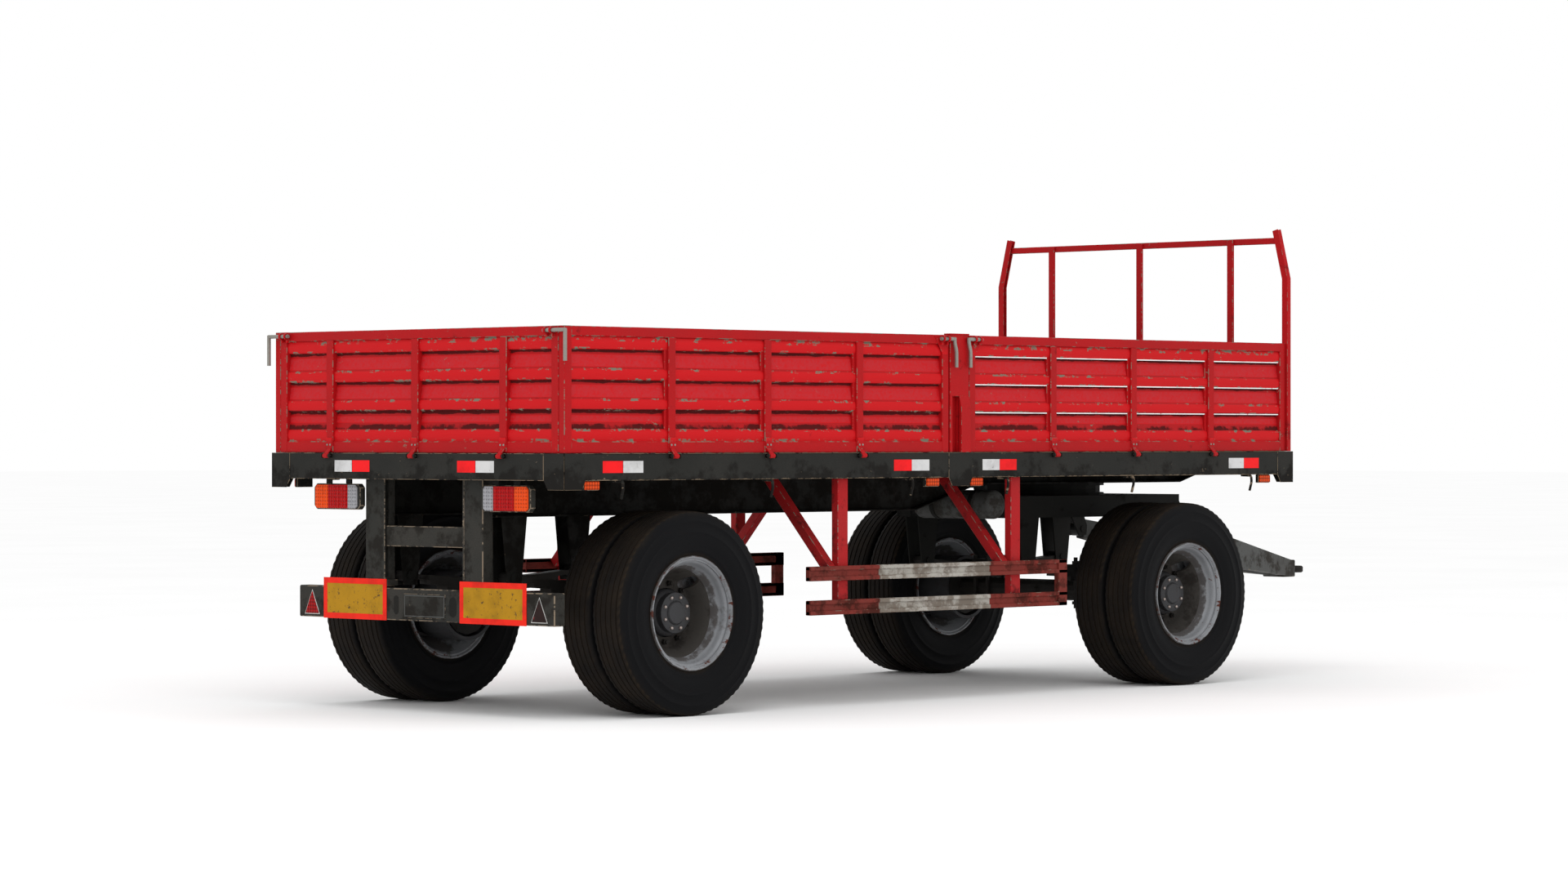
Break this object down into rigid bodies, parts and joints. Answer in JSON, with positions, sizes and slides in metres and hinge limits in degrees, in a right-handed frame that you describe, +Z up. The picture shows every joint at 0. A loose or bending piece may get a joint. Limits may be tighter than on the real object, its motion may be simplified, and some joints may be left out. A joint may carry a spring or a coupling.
{
  "type": "drop side drawbar trailer",
  "caption": "Two-axle drawbar trailer with drop sides, tailgate, latches, headboard rack, turning front dolly, twin wheels and hinged A-frame drawbar.",
  "frame": {"origin": "on the ground under the middle of the bounding box", "axes": "+X along the trailer towards the drawbar, +Y to its left, +Z up"},
  "size_m": [8.0215, 2.488, 2.8505],
  "materials": {
    "red_paint": "worn gloss red paint",
    "black_frame_paint": "matt black chassis paint, chipped",
    "faded_red_paint": "faded red paint",
    "floor_plate": "dirty steel floor plate",
    "tyre_rubber": "dusty black rubber",
    "rim_paint": "worn silver-grey paint",
    "cast_iron": "dark, rusty",
    "grey_steel": "dark grey paint",
    "bare_rod": "worn bare steel",
    "lamp_lens": "ribbed lens"
  },
  "bodies": {
    "trailer": {"main_beam_right": "black_frame_paint", "main_beam_left": "black_frame_paint", "cross_member_1": "black_frame_paint", "cross_member_2": "black_frame_paint", "cross_member_3": "black_frame_paint", "cross_member_4": "black_frame_paint", "deck_floor": "floor_plate", "side_rail_right": "black_frame_paint", "side_rail_left": "black_frame_paint", "rear_sill": "black_frame_paint", "front_sill": "black_frame_paint", "headboard_panel": "red_paint", "headboard_rack": "red_paint", "mid_post_right": "red_paint", "mid_post_left": "red_paint", "tail_lamp_right": "lamp_lens", "tail_lamp_left": "lamp_lens", "underrun_bumper": "black_frame_paint", "side_guard_right": "faded_red_paint", "side_guard_left": "faded_red_paint", "air_tank": "grey_steel", "tank_cradle": "black_frame_paint", "rear_spring_right": "cast_iron", "rear_spring_left": "cast_iron", "rear_axle": "cast_iron", "turntable_upper_ring": "black_frame_paint"},
    "dolly": {"dolly_frame": "black_frame_paint", "turntable_lower_ring": "black_frame_paint", "front_spring_right": "cast_iron", "front_spring_left": "cast_iron", "front_axle": "cast_iron"},
    "drawbar": {"drawbar_frame": "grey_steel", "tow_eye": "cast_iron"},
    "rear_right_wheel": {"rear_right_tyre_outer": "tyre_rubber", "rear_right_tyre_inner": "tyre_rubber", "rear_right_rims": "rim_paint", "rear_right_hub_drum": "cast_iron"},
    "side_board_rear_right": {"side_board_rear_right": "red_paint"},
    "mid_latch_rear_right": {"mid_latch_rear_right": "bare_rod"},
    "rear_left_wheel": {"rear_left_tyre_outer": "tyre_rubber", "rear_left_tyre_inner": "tyre_rubber", "rear_left_rims": "rim_paint", "rear_left_hub_drum": "cast_iron"},
    "side_board_rear_left": {"side_board_rear_left": "red_paint"},
    "mid_latch_rear_left": {"mid_latch_rear_left": "bare_rod"},
    "front_right_wheel": {"front_right_tyre_outer": "tyre_rubber", "front_right_tyre_inner": "tyre_rubber", "front_right_rims": "rim_paint", "front_right_hub_drum": "cast_iron"},
    "side_board_front_right": {"side_board_front_right": "red_paint"},
    "mid_latch_front_right": {"mid_latch_front_right": "bare_rod"},
    "front_left_wheel": {"front_left_tyre_outer": "tyre_rubber", "front_left_tyre_inner": "tyre_rubber", "front_left_rims": "rim_paint", "front_left_hub_drum": "cast_iron"},
    "side_board_front_left": {"side_board_front_left": "red_paint"},
    "mid_latch_front_left": {"mid_latch_front_left": "bare_rod"},
    "tailgate": {"tailgate": "red_paint"},
    "rear_latch_right": {"rear_latch_right": "bare_rod"},
    "rear_latch_left": {"rear_latch_left": "bare_rod"}
  },
  "joints": [
    {"name": "side_board_rear_right_hinge", "type": "hinge", "parent": "trailer", "child": "side_board_rear_right", "pos_m": [-2.43225, -1.2295, 1.425], "axis": [1, 0, 0], "range_deg": [0, 165]},
    {"name": "mid_latch_rear_right_turn", "type": "hinge", "parent": "side_board_rear_right", "child": "mid_latch_rear_right", "pos_m": [-0.87075, -1.222, 2.1005], "axis": [-1, 0, 0], "range_deg": [0, 110]},
    {"name": "side_board_front_right_hinge", "type": "hinge", "parent": "trailer", "child": "side_board_front_right", "pos_m": [0.78875, -1.2295, 1.425], "axis": [1, 0, 0], "range_deg": [0, 165]},
    {"name": "mid_latch_front_right_turn", "type": "hinge", "parent": "side_board_front_right", "child": "mid_latch_front_right", "pos_m": [-0.74675, -1.222, 2.1005], "axis": [-1, 0, 0], "range_deg": [0, 110]},
    {"name": "side_board_rear_left_hinge", "type": "hinge", "parent": "trailer", "child": "side_board_rear_left", "pos_m": [-2.43225, 1.2295, 1.425], "axis": [-1, 0, 0], "range_deg": [0, 165]},
    {"name": "mid_latch_rear_left_turn", "type": "hinge", "parent": "side_board_rear_left", "child": "mid_latch_rear_left", "pos_m": [-0.87075, 1.222, 2.1005], "axis": [1, 0, 0], "range_deg": [0, 110]},
    {"name": "side_board_front_left_hinge", "type": "hinge", "parent": "trailer", "child": "side_board_front_left", "pos_m": [0.78875, 1.2295, 1.425], "axis": [-1, 0, 0], "range_deg": [0, 165]},
    {"name": "mid_latch_front_left_turn", "type": "hinge", "parent": "side_board_front_left", "child": "mid_latch_front_left", "pos_m": [-0.74675, 1.222, 2.1005], "axis": [1, 0, 0], "range_deg": [0, 110]},
    {"name": "tailgate_hinge", "type": "hinge", "parent": "trailer", "child": "tailgate", "pos_m": [-3.99625, 0, 1.425], "axis": [0, -1, 0], "range_deg": [0, 180]},
    {"name": "rear_latch_right_turn", "type": "hinge", "parent": "tailgate", "child": "rear_latch_right", "pos_m": [-3.98875, -1.23, 2.1005], "axis": [0, 1, 0], "range_deg": [0, 110]},
    {"name": "rear_latch_left_turn", "type": "hinge", "parent": "tailgate", "child": "rear_latch_left", "pos_m": [-3.98875, 1.23, 2.1005], "axis": [0, 1, 0], "range_deg": [0, 110]},
    {"name": "dolly_steer", "type": "hinge", "parent": "trailer", "child": "dolly", "pos_m": [1.30525, 0, 1.2], "axis": [0, 0, 1], "range_deg": [-40, 40]},
    {"name": "drawbar_lift", "type": "hinge", "parent": "dolly", "child": "drawbar", "pos_m": [2.17325, 0, 0.93], "axis": [0, -1, 0], "range_deg": [0, 15]},
    {"name": "rear_right_wheel_spin", "type": "hinge", "parent": "trailer", "child": "rear_right_wheel", "pos_m": [-3.01775, -0.99, 0.563], "axis": [0, 1, 0], "continuous": true},
    {"name": "rear_left_wheel_spin", "type": "hinge", "parent": "trailer", "child": "rear_left_wheel", "pos_m": [-3.01775, 0.99, 0.563], "axis": [0, 1, 0], "continuous": true},
    {"name": "front_right_wheel_spin", "type": "hinge", "parent": "dolly", "child": "front_right_wheel", "pos_m": [1.30525, -0.99, 0.563], "axis": [0, 1, 0], "continuous": true},
    {"name": "front_left_wheel_spin", "type": "hinge", "parent": "dolly", "child": "front_left_wheel", "pos_m": [1.30525, 0.99, 0.563], "axis": [0, 1, 0], "continuous": true}
  ]
}
